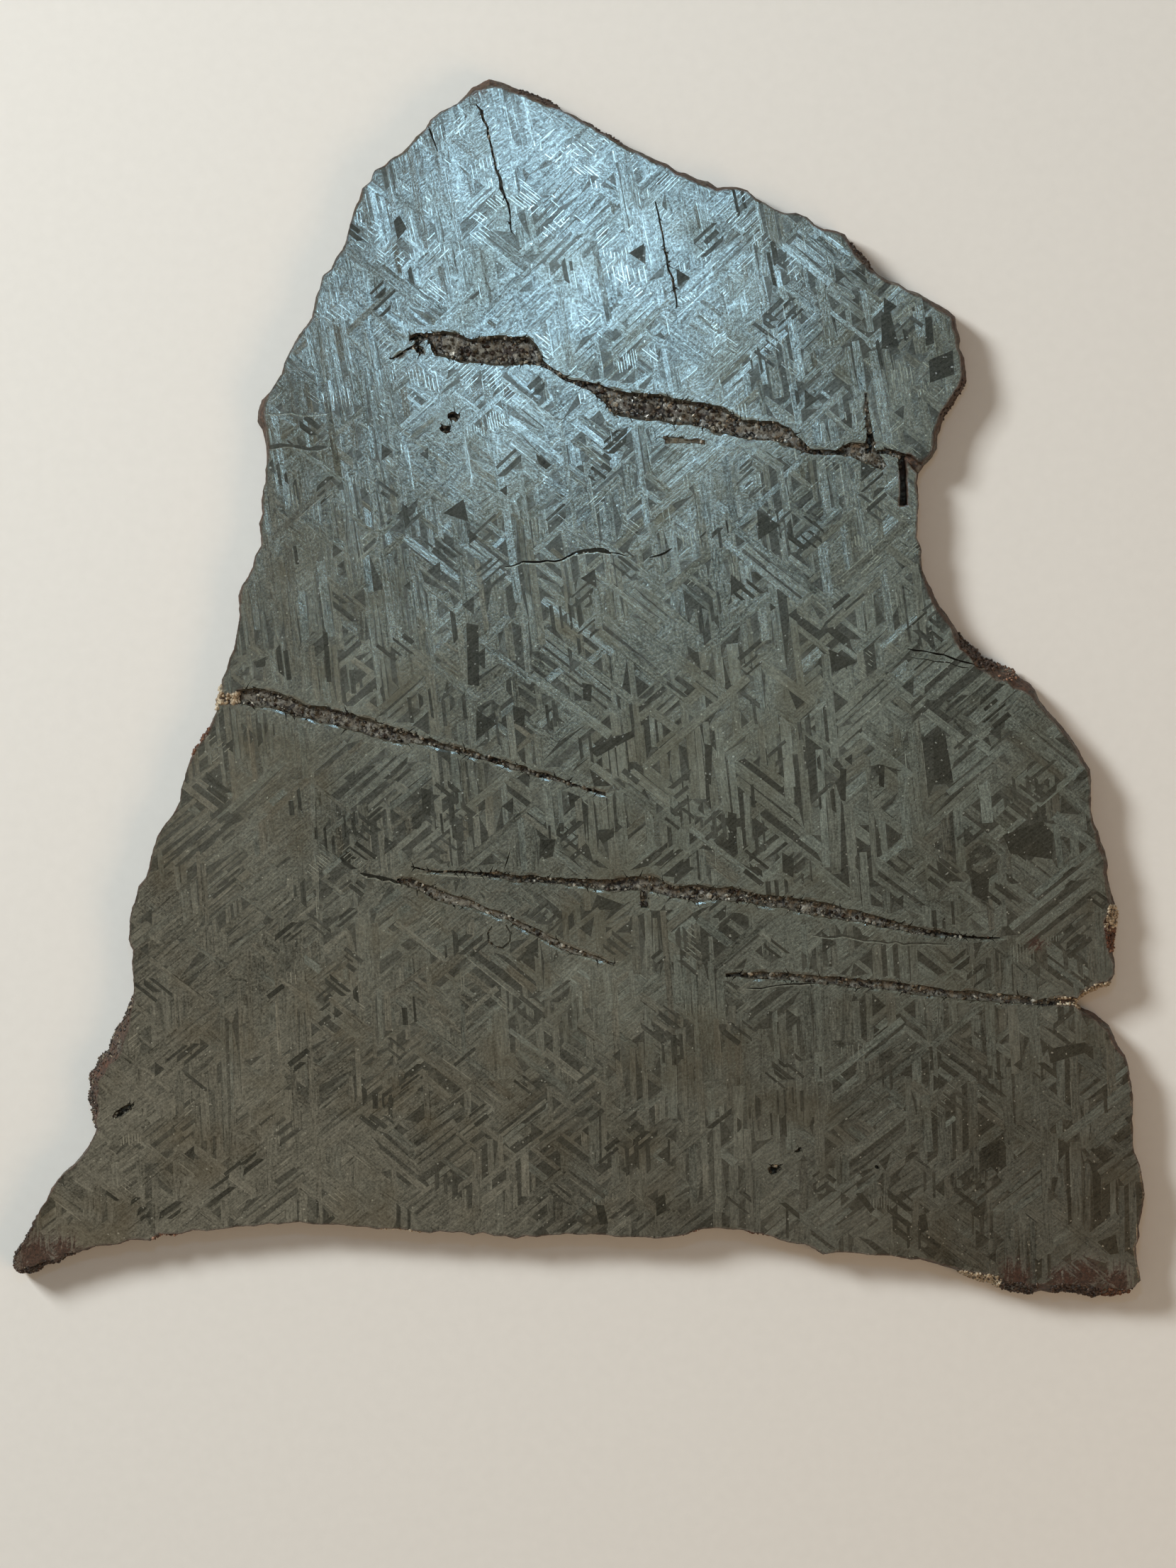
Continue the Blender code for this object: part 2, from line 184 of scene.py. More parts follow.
# Parts of the front. Each has its middle, the shares of upright, rising and falling bands, their
# width, their length and how much of the part is dark fields.
REGIONS = [
    (-16, 54, (0.60, 0.20, 0.20), 0.55, 7.0, 0.15), (2, 44, (0.15, 0.70, 0.15), 0.50, 6.5, 0.10),
    (-24, 38, (0.25, 0.15, 0.60), 0.50, 5.5, 0.15), (20, 43, (0.40, 0.35, 0.25), 0.60, 5.0, 0.35),
    (34, 37, (0.45, 0.30, 0.25), 0.85, 4.5, 0.80), (-29, 13, (0.78, 0.10, 0.12), 0.55, 9.0, 0.60),
    (-12, 20, (0.30, 0.20, 0.50), 0.55, 5.0, 0.35), (8, 18, (0.35, 0.35, 0.30), 0.65, 5.0, 0.45),
    (26, 14, (0.40, 0.35, 0.25), 0.70, 5.5, 0.60), (-6, 3, (0.45, 0.30, 0.25), 0.75, 6.0, 0.90),
    (22, -2, (0.42, 0.32, 0.26), 0.85, 6.5, 1.00), (42, -8, (0.30, 0.40, 0.30), 0.90, 6.0, 0.70),
    (-30, -12, (0.30, 0.45, 0.25), 0.60, 5.0, 0.50), (6, -14, (0.50, 0.28, 0.22), 0.80, 6.0, 1.00),
    (30, -18, (0.50, 0.25, 0.25), 0.85, 6.0, 0.85), (-35, -36, (0.20, 0.60, 0.20), 0.45, 7.0, 0.30),
    (-8, -38, (0.40, 0.35, 0.25), 0.60, 3.5, 0.45), (22, -42, (0.38, 0.32, 0.30), 0.75, 5.0, 0.60),
    (46, -48, (0.42, 0.30, 0.28), 0.85, 6.5, 0.90), (-45, -55, (0.35, 0.40, 0.25), 0.70, 4.0, 0.30),
    (-8, -52, (0.40, 0.32, 0.28), 0.75, 4.5, 0.70),
]
REGION_REACH = 11.0

# Large dark fields that stand out in the photograph, as corners in its pixels
PHOTO_MM_PER_PIXEL = 0.07523
PHOTO_CENTRE = (817.5, 969.0)
DARK_FIELDS = [
    [(672, 1001), (701, 1021), (672, 1042)], [(1068, 719), (1101, 741), (1070, 762)],
    [(1168, 915), (1209, 934), (1175, 949)], [(819, 816), (839, 803), (842, 829)],
    [(625, 724), (654, 704), (661, 736)], [(801, 1117), (819, 1124), (804, 1138)],
    [(887, 357), (909, 343), (907, 369)], [(954, 379), (974, 392), (956, 402)],
    [(658, 879), (675, 882), (676, 968), (660, 966)], [(723, 995), (741, 1000), (739, 1026), (725, 1020)],
    [(830, 1057), (893, 1030), (895, 1039), (842, 1068)], [(821, 963), (835, 966), (834, 990), (823, 987)],
    [(594, 1111), (609, 1115), (607, 1151), (596, 1148)],
    [(845, 1183), (866, 1167), (866, 1180), (850, 1190)],
    [(1163, 888), (1175, 884), (1199, 902), (1190, 910)],
    [(994, 1049), (1005, 1052), (1003, 1107), (995, 1104)],
    [(1185, 1083), (1194, 1085), (1193, 1131), (1186, 1128)],
    [(1240, 1078), (1248, 1080), (1247, 1111), (1240, 1108)],
    [(1316, 1035), (1334, 1038), (1345, 1104), (1318, 1107)],
    [(1027, 1145), (1039, 1148), (1038, 1202), (1028, 1199)],
    [(1103, 1202), (1120, 1212), (1119, 1238), (1104, 1230)],
    [(1371, 1226), (1395, 1240), (1394, 1274), (1372, 1262)],
    [(1415, 1178), (1470, 1158), (1486, 1176), (1484, 1212), (1425, 1204)],
    [(1305, 448), (1314, 446), (1318, 484), (1306, 488)],
    [(1310, 508), (1344, 494), (1346, 528), (1312, 540)],
    [(1243, 445), (1256, 440), (1268, 488), (1244, 492)],
    [(1081, 355), (1086, 356), (1096, 404), (1090, 402)], [(555, 312), (563, 303), (574, 322), (561, 338)],
    [(756, 640), (778, 656), (770, 662), (760, 654)],
    [(1533, 1633), (1541, 1640), (1553, 1660), (1553, 1720), (1544, 1722), (1540, 1650)],
    [(1503, 1625), (1508, 1625), (1512, 1725), (1507, 1728)],
    [(1538, 1622), (1542, 1618), (1560, 1636), (1556, 1640)],
    [(1548, 1752), (1574, 1741), (1578, 1768), (1566, 1770)],
    [(1478, 1480), (1530, 1470), (1534, 1484), (1482, 1500)],
    [(1384, 1620), (1410, 1608), (1408, 1656), (1392, 1640)],
    [(1296, 1715), (1306, 1712), (1310, 1735), (1298, 1740)],
    [(840, 1700), (852, 1700), (858, 1726), (846, 1728)],
    [(925, 1690), (938, 1684), (940, 1708), (926, 1716)],
    [(1207, 1684), (1216, 1682), (1234, 1706), (1228, 1712)],
    [(413, 770), (418, 770), (422, 796), (417, 796)], [(455, 890), (462, 892), (468, 962), (461, 962)],
    [(358, 934), (376, 926), (374, 940), (362, 942)], [(842, 1262), (880, 1276), (862, 1284), (850, 1280)],
    [(762, 1184), (784, 1184), (780, 1208), (768, 1212)],
]

# Fine cracks and filled veins of the front: half width, darkness, brightness of a painted highlight
# along the lower side, and the points they run through in photo pixels
HAIRLINES = [
    (0.10, 2.0, 3.0, [(712, 800), (738, 792), (762, 794), (792, 789), (814, 780)]),
    (0.30, 1.5, 3.0, [(806, 781), (826, 777), (842, 776), (862, 779)]),
    (0.10, 2.0, 2.0, [(858, 779), (872, 780), (886, 784)]),
    (0.14, 1.8, 0.0, [(916, 787), (930, 783), (948, 774)]),
    (0.06, 1.8, 0.0, [(720, 1197), (717, 1210), (711, 1227)]),
    (0.07, 0.0, 3.2, [(590, 1231), (630, 1234), (682, 1238)]),
    (0.09, 1.9, 0.0, [(604, 178), (611, 196), (618, 216)]),
    (0.09, 1.9, 0.0, [(1280, 915), (1322, 922), (1362, 933), (1402, 947)]),
    (0.06, 1.6, 0.0, [(1284, 926), (1330, 933), (1366, 943)]),
    (0.12, 0.3, 3.2, [(376, 584), (402, 582), (432, 585), (462, 582)]),
    (0.24, 0.9, 3.0, [(376, 631), (404, 628), (436, 633), (462, 629)]),
    (0.09, 0.9, 2.2, [(1145, 1318), (1210, 1325), (1275, 1330), (1338, 1333)]),
    (0.20, 1.4, 2.6, [(508, 1232), (530, 1238), (550, 1240), (566, 1246)]),
    (0.07, 1.8, 2.0, [(1150, 1388), (1120, 1388), (1085, 1392), (1052, 1394)]),
]
HAIRLINE_STEP = 0.8
HAIRLINE_WANDER = 0.07
HAIRLINE_UNEVEN = (0.6, 1.3)
HAIRLINE_END = 0.3
HAIRLINE_GLINT_WIDTH = 0.13


def photo_to_mm(point):
    x, y = point
    return ((x - PHOTO_CENTRE[0]) * PHOTO_MM_PER_PIXEL, (PHOTO_CENTRE[1] - y) * PHOTO_MM_PER_PIXEL)


def counterclockwise(polygon):
    following = polygon[1:] + polygon[:1]
    doubled_area = sum(a[0] * b[1] - b[0] * a[1] for a, b in zip(polygon, following))
    return polygon if doubled_area > 0 else polygon[::-1]


class Plan:
    """A fine grid over the front that remembers which of its cells are taken."""

    def __init__(self, loop):
        self.low = loop.min(0) - 1
        columns, rows = np.ceil((loop.max(0) + 1 - self.low) / CELL).astype(int)
        self.taken = np.zeros((rows, columns), bool)
        self.taken = ~self.covered(loop)

    def covered(self, polygon):
        """The cells inside a polygon, row by row."""
        cells = np.zeros_like(self.taken)
        starts = np.asarray(polygon)
        ends = np.roll(starts, -1, axis=0)
        for row in range(cells.shape[0]):
            y = self.low[1] + (row + 0.5) * CELL
            crossing = (starts[:, 1] > y) != (ends[:, 1] > y)
            a, b = starts[crossing], ends[crossing]
            xs = np.sort(a[:, 0] + (y - a[:, 1]) / (b[:, 1] - a[:, 1]) * (b[:, 0] - a[:, 0]))
            columns = np.round((xs - self.low[0]) / CELL).astype(int)
            for first, last in zip(columns[::2], columns[1::2]):
                cells[row, first:last] = True
        return cells

    def is_taken(self, points):
        columns, rows = ((points - self.low) / CELL).astype(int).T
        rows = np.clip(rows, 0, self.taken.shape[0] - 1)
        columns = np.clip(columns, 0, self.taken.shape[1] - 1)
        return self.taken[rows, columns]

    def take_bar(self, middle, along, half_length, half_width):
        across = sideways(along)
        reach = np.abs(along) * half_length + np.abs(across) * half_width
        first = np.maximum(((middle - reach - self.low) / CELL).astype(int), 0)
        last = ((middle + reach - self.low) / CELL).astype(int) + 1
        rows = np.arange(first[1], min(last[1], self.taken.shape[0]))
        columns = np.arange(first[0], min(last[0], self.taken.shape[1]))
        xs = self.low[0] + (columns + 0.5) * CELL - middle[0]
        ys = (self.low[1] + (rows + 0.5) * CELL - middle[1])[:, None]
        inside = np.abs(xs * along[0] + ys * along[1]) < half_length
        inside &= np.abs(xs * across[0] + ys * across[1]) < half_width
        self.taken[rows[0]:rows[-1] + 1, columns[0]:columns[-1] + 1] |= inside


SWATHE = 0.9
SWATHE_UNEVEN = 0.6
SWATHE_WAVE = 4
SWATHE_OVERLAP = 0.2


def take_swathes(plan, loops):
    """Keeps a plain strip of metal along the fissures, where no band or dark field lies."""
    for loop in loops:
        gaps = gaps_to_loops(loop, [back_loop])
        for a, b, gap in zip(loop, np.roll(loop, -1, axis=0), gaps):
            run = math.dist(a, b)
            if gap > RIM_REACH and run:
                uneven = 1 + SWATHE_UNEVEN * noise.noise(Vector((*a, 0)) / SWATHE_WAVE)
                plan.take_bar((a + b) / 2, (b - a) / run, run / 2 + SWATHE_OVERLAP, SWATHE * uneven)


# The degrees of upright, rising and falling bands at the bottom, and what the top adds to them
BAND_DEGREES = ((90, 13), (37, 8), (142, 0))
DEGREES_SPREAD = 0.8
BOTTOM = -65
TALLNESS = 130


def sideways(along):
    return np.array([-along[1], along[0]])


def band_heading(kind, y, rng):
    """The upright and rising bands lean a little more towards the slice's tip."""
    at_bottom, added = BAND_DEGREES[kind]
    height = (y - BOTTOM) / TALLNESS
    angle = math.radians(at_bottom + added * height + rng.gauss(0, DEGREES_SPREAD))
    return np.array([math.cos(angle), math.sin(angle)])


def region_weights(x, y):
    """How strongly each part of the front acts on a place."""
    return [math.exp(-((x - r[0]) ** 2 + (y - r[1]) ** 2) / (2 * REGION_REACH ** 2)) for r in REGIONS]


def region_of(x, y, rng):
    return rng.choices(REGIONS, region_weights(x, y))[0]


def dark_share(x, y):
    """How much of the front near a place is dark fields, from 0 to 1."""
    weights = region_weights(x, y)
    return sum(weight * region[5] for weight, region in zip(weights, REGIONS)) / sum(weights)


def likely_band(place, rng):
    """The heading and width that a band at this place may have."""
    _, _, shares, width, _, _ = region_of(*place, rng)
    kind = rng.choices((UPRIGHT, RISING, FALLING), shares)[0]
    return band_heading(kind, place[1], rng), width


def place_beside(loop, rng):
    """A place in the box round a loop."""
    low, high = loop.min(0), loop.max(0)
    return np.array([rng.uniform(low[0], high[0]), rng.uniform(low[1], high[1])])


STARTS = 26000
SHORTEST_BAND = 0.9
# In parts of a band's usual width and length
HALF_WIDTHS = (0.32, 0.72)
REACHES = (0.3, 1.5)
GAPS_BESIDE = (0.0, 0.06, 0.14, 0.3)
# In parts of the band's own half width
FEELERS = (-0.9, 0, 0.9)
END_OVERLAP = 1.2
# Bands that start in one square patch tend to run the same way
PATCH = 4.5
PATCH_PULL = 0.55


def grow_bands(plan, rng):
    """Bands as (middle, direction, half length, half width), the oldest first."""
    bands = []
    free = np.argwhere(~plan.taken)
    for _ in range(STARTS):
        row, column = free[rng.randrange(len(free))]
        if plan.taken[row, column]:
            continue
        seed = plan.low + (np.array([column, row]) + 0.5) * CELL
        _, _, shares, width, length, _ = region_of(*seed, rng)
        patch = noise.cell(Vector((seed[0] / PATCH, seed[1] / PATCH, 3)))
        draw = (0.5 + 0.5 * patch) if rng.random() < PATCH_PULL else rng.random()
        kind = UPRIGHT if draw < shares[0] else RISING if draw < shares[0] + shares[1] else FALLING
        along = band_heading(kind, seed[1], rng)
        across = sideways(along)
        half_width = width * rng.uniform(*HALF_WIDTHS)
        ends = []
        for sense in (1, -1):
            reach = length * rng.uniform(*REACHES)
            steps = np.arange(0, reach, CELL)[:, None] * along * sense
            hit = reach
            for side in FEELERS:
                taken = plan.is_taken(seed + side * half_width * across + steps)
                if taken.any():
                    hit = min(hit, taken.argmax() * CELL)
            ends.append(hit + (END_OVERLAP * half_width if hit < reach else 0))
        if sum(ends) < SHORTEST_BAND + 2 * END_OVERLAP * half_width:
            continue
        middle = seed + along * (ends[0] - ends[1]) / 2
        half_length = sum(ends) / 2
        gap = width * rng.choice(GAPS_BESIDE)
        plan.take_bar(middle, along, half_length, half_width + gap)
        bands.append((middle, along, half_length, half_width))
    return bands


def bar_corners(middle, along, half_length, half_width):
    across = sideways(along)
    return [Vector(middle + u * half_length * along + v * half_width * across) for u, v in QUAD]


def hairline_pieces(half_width, darkness, lower_glint, path, rng):
    """A wandering line as short quads, and a painted highlight along its lower side, where a lip would
    catch the light.
    """
    corners = [Vector(photo_to_mm(point)) for point in path]
    points = [corners[0]]
    for a, b in zip(corners, corners[1:]):
        count = max(1, round((b - a).length / HAIRLINE_STEP))
        points += [a.lerp(b, (i + 1) / count) for i in range(count)]
    points = [p + Vector((0, rng.gauss(0, HAIRLINE_WANDER))) for p in points]
    widths = [half_width * rng.uniform(*HAIRLINE_UNEVEN) for _ in points]
    widths[0] = widths[-1] = half_width * HAIRLINE_END
    made = []
    for a, b, wide_a, wide_b in zip(points, points[1:], widths, widths[1:]):
        across = (b - a).orthogonal().normalized()
        grain = (b - a).normalized()
        quad = [a - across * wide_a, b - across * wide_b, b + across * wide_b, a + across * wide_a]
        made.append((quad, 0.0, darkness, grain, NO_LEAN))
        # Painted highlight: a strip of bright colour below the line stands for light on its lower lip
        if lower_glint:
            down = across if across.y < 0 else -across
            lip = [
                a + down * wide_a, a + down * (wide_a + HAIRLINE_GLINT_WIDTH),
                b + down * (wide_b + HAIRLINE_GLINT_WIDTH), b + down * wide_b,
            ]
            made.append((counterclockwise(lip), lower_glint, 0.0, grain, NO_LEAN))
    return made


MARK_GROUPS = 900
MARK_TONES = (-0.6, 0.3)
MARK_DARKNESS = (0.7, 1.0)
MARK_COUNTS = (1, 2, 2, 3, 4)
MARK_HALF_LENGTHS = (0.45, 1.6)
MARK_HALF_WIDTHS = (0.10, 0.30)
TRIANGLE_SHARE = 0.22
TRIANGLE_SIDES = (0.9, 2.4)


def dark_marks(loop, plain, rng):
    """Short dark bars in parallel groups, and triangles between the three directions."""
    made = []
    for _ in range(MARK_GROUPS):
        middle = place_beside(loop, rng)
        if rng.random() > dark_share(*middle) or plain.is_taken(middle[None])[0]:
            continue
        tone = rng.uniform(*MARK_TONES)
        darkness = rng.uniform(*MARK_DARKNESS)
        if rng.random() < TRIANGLE_SHARE:
            tall = rng.uniform(*TRIANGLE_SIDES)
            out = tall / 1.5 * rng.choice((-1, 1))
            corners = [(0, 0), (out, tall * rng.uniform(0.45, 0.55)), (0, tall)]
            triangle = counterclockwise([Vector(middle + corner) for corner in corners])
            made.append((triangle, tone, darkness, PLAIN_GRAIN, NO_LEAN))
            continue
        along, width = likely_band(middle, rng)
        across = sideways(along)
        for _ in range(rng.choice(MARK_COUNTS)):
            half_length = rng.uniform(*MARK_HALF_LENGTHS)
            half_width = rng.uniform(*MARK_HALF_WIDTHS)
            skew = rng.choice((-1, 0, 1)) * half_width
            corners = [
                Vector(middle + u * (half_length + v * skew) * along + v * half_width * across)
                for u, v in QUAD
            ]
            made.append((corners, tone, darkness, along, NO_LEAN))
            step = across * (width + half_width) * rng.uniform(0.8, 1.3)
            middle = middle + step + along * rng.gauss(0, 0.6)
    return made


GLINT_GROUPS = 1250
GLINT_COUNTS = (1, 1, 2, 3, 5, 8)
GLINT_TONES = (3.0, 4.6)
GLINT_SPACINGS = (0.26, 0.6)
GLINT_LENGTHS = (0.3, 1.1)
GLINT_HALF_WIDTHS = (0.022, 0.055)
# The share of glints kept at the bottom, the height where it starts to grow, and over how many
# millimetres it grows to all
FEWEST_GLINTS = 0.12
GLINTS_GROW_FROM = 8
GLINTS_GROW_OVER = 30


def painted_glints(loop, rng):
    """Painted glints: thin strips of bright colour where fine edges would catch the light, in parallel
    groups, most of them in the upper part.
    """
    made = []
    for _ in range(GLINT_GROUPS):
        middle = place_beside(loop, rng)
        up = min(max((middle[1] - GLINTS_GROW_FROM) / GLINTS_GROW_OVER, 0), 1)
        if rng.random() > FEWEST_GLINTS + (1 - FEWEST_GLINTS) * up:
            continue
        along, _ = likely_band(middle, rng)
        across = sideways(along)
        spacing = rng.uniform(*GLINT_SPACINGS)
        length = rng.uniform(*GLINT_LENGTHS)
        for _ in range(rng.choice(GLINT_COUNTS)):
            half_length = length * rng.uniform(0.5, 1.2)
            glint = bar_corners(middle, along, half_length, rng.uniform(*GLINT_HALF_WIDTHS))
            made.append((glint, rng.uniform(*GLINT_TONES), 0.0, along, NO_LEAN))
            middle = middle + across * spacing * rng.uniform(0.8, 1.2) + along * rng.gauss(0, 0.25)
    return made


SPLINTER_SHARE = 0.25
SPLINTER_LENGTHS = (0.25, 1.0)
SPLINTER_HALF_WIDTHS = (0.05, 0.13)
SPLINTER_OVERLAP = 0.1
SPLINTER_DARKNESS = 1.7


def splinter_cracks(loops, rng):
    """Short dark cracks that branch off from the fissures."""
    made = []
    for loop in loops:
        gaps = gaps_to_loops(loop, [back_loop])
        befores = np.roll(loop, 1, axis=0)
        afters = np.roll(loop, -1, axis=0)
        for before, root, after, gap in zip(befores, loop, afters, gaps):
            run = Vector(after - before).normalized()
            if gap < RIM_REACH or not run.length or rng.random() > SPLINTER_SHARE:
                continue
            for side in (-1, 1):
                out = run.orthogonal() * side
                slant = (run * rng.choice((-1, 1)) * rng.uniform(0.4, 1.2) + out).normalized()
                half_width = rng.uniform(*SPLINTER_HALF_WIDTHS)
                base = Vector(root) - out * SPLINTER_OVERLAP
                tip = Vector(root) + slant * rng.uniform(*SPLINTER_LENGTHS)
                crack = [base - run * half_width, base + run * half_width, tip]
                made.append((counterclockwise(crack), 0.0, SPLINTER_DARKNESS, slant, NO_LEAN))
    return made


FIELD_TONES = (-0.6, 0.2)
# Half of the bands have a fine bright or dark line along one side. The bright ones are painted
# glints, and in the upper part, where the overhead light mirrors in the face, more of them are bright.
LINE_SHARE = 0.5
LINE_HALF_WIDTH = 0.045
GLINT_LINE_TONE = 2.6
DARK_EDGE = -1.8
UPPER_FROM = 20.0
UPPER_FROM_SPREAD = 8
UPPER_GLINT_SHARE = 0.6
LOWER_GLINT_SHARE = 0.12
LEAN_ACROSS = 0.016
LEAN_ALONG = 0.012
# Where the overhead light mirrors in the face, the bands lean this much more.
GLOW_LEAN = 0.008
GLOW_MIDDLE = (-9.0, 46.0)
GLOW_REACH = 22.0
TONE_SPREAD = 0.5
TONE_LIMIT = 1.5


def front_pieces(fields, bands, loop, plain, rng):
    """Every polygon of the front as (corners, tone, field share, grain, lean), the topmost first."""
    made = splinter_cracks(front_loops, rng)
    for half_width, darkness, lower_glint, path in HAIRLINES:
        made += hairline_pieces(half_width, darkness, lower_glint, path, rng)
    for field in fields:
        corners = [Vector(corner) for corner in field]
        made.append((corners, rng.uniform(*FIELD_TONES), 1.0, PLAIN_GRAIN, NO_LEAN))
    made += painted_glints(loop, rng)
    made += dark_marks(loop, plain, rng)
    for middle, along, half_length, half_width in bands:
        across = sideways(along)
        glow = math.exp(-(math.dist(middle, GLOW_MIDDLE) / GLOW_REACH) ** 2)
        lean = across * rng.gauss(0, LEAN_ACROSS + GLOW_LEAN * glow) + along * rng.gauss(0, LEAN_ALONG)
        if rng.random() < LINE_SHARE:
            chance = rng.random()
            is_upper = middle[1] > UPPER_FROM + rng.gauss(0, UPPER_FROM_SPREAD)
            bright = chance < (UPPER_GLINT_SHARE if is_upper else LOWER_GLINT_SHARE)
            side = rng.choice((-1, 1))
            line_middle = middle + across * side * half_width + along * half_length * rng.uniform(-0.3, 0.3)
            line_half = half_length * rng.uniform(0.35, 0.7)
            line = bar_corners(line_middle, along, line_half, LINE_HALF_WIDTH * rng.uniform(0.7, 1.5))
            made.append((line, GLINT_LINE_TONE if bright else DARK_EDGE, 0.0, along, lean))
        tone = max(-TONE_LIMIT, min(TONE_LIMIT, rng.gauss(0, TONE_SPREAD)))
        made.append((bar_corners(middle, along, half_length, half_width), tone, 0.0, along, lean))
    return made


def free_darkness(x, y):
    """How dark a spot that no band has reached is. Some parts of the front have few dark fields."""
    drift = noise.noise(Vector((x / 9, y / 9, 5))) * 0.9 + noise.noise(Vector((x / 1.6, y / 1.6, 9)))
    share = dark_share(x, y)
    return min(max(share - 0.1 + 2.4 * drift, 0.0), 1.0) * (0.45 + 0.55 * share)


def inside_front(points, border):
    """Even-odd test of points against the open edges, in millimetres."""
    starts = np.array([e.verts[0].co.xy / MM for e in border])
    ends = np.array([e.verts[1].co.xy / MM for e in border])
    inside = np.zeros(len(points), bool)
    for a, b in zip(starts, ends):
        straddles = (a[1] > points[:, 1]) != (b[1] > points[:, 1])
        if straddles.any():
            xs = a[0] + (points[straddles, 1] - a[1]) / (b[1] - a[1]) * (b[0] - a[0])
            inside[straddles] ^= points[straddles, 0] < xs
    return inside


# The front rounds off over this width at its edges, by a drop that changes in waves along them
LIP = 0.24
LIP_DROP = 0.03
LIP_WAVE = 1.4
# Loops with fewer points, such as the pits, keep a sharp edge
LIP_LOOP = 130


def lip_ring(loop, outer):
    """A line in the metal beside a loop, where the front starts to round off towards it."""
    area = (loop[:, 0] * np.roll(loop[:, 1], -1) - loop[:, 1] * np.roll(loop[:, 0], -1)).sum()
    if (area > 0) != outer:
        loop = loop[::-1]
    run = np.roll(loop, -1, axis=0) - np.roll(loop, 1, axis=0)
    inward = np.stack([-run[:, 1], run[:, 0]], axis=1) / np.linalg.norm(run, axis=1, keepdims=True)
    return (loop + LIP * inward)[::2]


def lower_lips(front_verts, loops):
    """Rounds the front off towards the rim and the fissures, and marks what is near the rim."""
    places = [vert.co.xy / MM for vert in front_verts]
    gaps = gaps_to_loops(places, loops)
    back_gaps = gaps_to_loops(places, [back_loop])
    for vert, gap, back_gap in zip(front_verts, gaps, back_gaps):
        if back_gap < RIM_REACH:
            vert[rim_layer] = max(0, 1 - gap / LIP)
        if gap < LIP:
            uneven = max(0, 0.15 + 2 * noise.noise(vert.co / (LIP_WAVE * MM)))
            vert.co.z -= LIP_DROP * MM * uneven * (1 - gap / LIP) ** 1.5


def holds(polygon, x, y):
    """Even-odd test of a place against a polygon."""
    inside = False
    for a, b in zip(polygon, polygon[1:] + polygon[:1]):
        if (a[1] > y) != (b[1] > y) and x < a[0] + (y - a[1]) / (b[1] - a[1]) * (b[0] - a[0]):
            inside = not inside
    return inside


def topmost(origins, pieces, x, y):
    """The first of the pieces named for a face that really lies there. A sliver can name too many."""
    return next((pieces[i] for i in sorted(origins) if holds(pieces[i][0], x, y)), None)


def fill_front(shape, border, pieces, plain):
    """Builds the front's faces from its border and the polygons that lie on it."""
    border_verts = list(dict.fromkeys(v for e in border for v in e.verts))
    number = {vert: i for i, vert in enumerate(border_verts)}
    points = [vert.co.xy / MM for vert in border_verts]
    edges = [(number[e.verts[0]], number[e.verts[1]]) for e in border]
    long_loops = [loop for loop in closed_loops(border) if len(loop) > LIP_LOOP]
    for loop in long_loops:
        ring = lip_ring(loop, loop is long_loops[0])
        edges += [(len(points) + i, len(points) + (i + 1) % len(ring)) for i in range(len(ring))]
        points += [Vector(point) for point in ring]
    faces = []
    for corners, *_ in pieces:
        faces.append(list(range(len(points), len(points) + len(corners))))
        points += corners
    cut_points, cut_edges, cut_faces, from_points, from_edges, from_faces = delaunay_2d_cdt(
        points, edges, faces, 0, 1e-4)
    places = np.array([tuple(p) for p in cut_points])
    middles = np.array([places[list(face)].mean(0) for face in cut_faces])
    inside = inside_front(middles, border)
    is_plain = plain.is_taken(middles)

    verts = {}
    for i, origins in enumerate(from_points):
        for origin in origins:
            if origin < len(border_verts):
                verts[i] = border_verts[origin]
    split_border(border, places, cut_edges, from_edges, verts)

    tone_and_glint_layer = shape.faces.layers.float.new("tone")
    field_layer = shape.faces.layers.float.new("field")
    grain_layer = shape.faces.layers.float_vector.new("grain")
    lean_layer = shape.faces.layers.float_vector.new("lean")
    for i, face in enumerate(cut_faces):
        if not inside[i]:
            continue
        for corner in face:
            if corner not in verts:
                verts[corner] = shape.verts.new((*places[corner] * MM, FRONT))
        corners = [verts[corner] for corner in face]
        if len(set(corners)) < 3 or shape.faces.get(corners):
            continue
        made = shape.faces.new(corners)
        made.material_index = ETCHED
        piece = topmost(from_faces[i], pieces, *middles[i])
        if piece:
            _, tone, field, grain, lean = piece
        else:
            darkness = 0.0 if is_plain[i] else free_darkness(*middles[i])
            tone, field, grain, lean = 0.0, darkness, PLAIN_GRAIN, NO_LEAN
        made[tone_and_glint_layer] = tone
        made[field_layer] = field
        made[grain_layer] = Vector((*grain, 0))
        made[lean_layer] = Vector((*lean, 0))
    bmesh.ops.holes_fill(shape, edges=open_edges(shape), sides=0)
    lower_lips(list(verts.values()), long_loops)


def split_border(border, places, cut_edges, from_edges, verts):
    """Gives the border a point wherever a band's side crosses it, so that the slab stays closed."""
    crossings = {}
    for i, origins in enumerate(from_edges):
        for origin in origins:
            if origin < len(border):
                crossings.setdefault(origin, set()).update(cut_edges[i])
    for origin, found in crossings.items():
        edge = border[origin]
        start, end = edge.verts
        ordered = sorted(
            (i for i in found if i not in verts),
            key=lambda i: (Vector(places[i]) - start.co.xy / MM).length,
        )
        for i in ordered:
            whole = (end.co - start.co).length
            share = (Vector(places[i]) * MM - start.co.xy).length / whole
            between = next(e for e in start.link_edges if e.other_vert(start) is end)
            _, made = bmesh.utils.edge_split(between, start, min(max(share, 0.001), 0.999))
            verts[i] = made
            start = made


rng = random.Random(GROWTH_SEED)
plan = Plan(outline)
take_swathes(plan, front_loops)
plain = Plan(outline)
plain.taken = plan.taken.copy()
dark_fields = [counterclockwise([photo_to_mm(corner) for corner in field]) for field in DARK_FIELDS]
for dark_field in dark_fields:
    plan.taken |= plan.covered(dark_field)
bands = grow_bands(plan, rng)

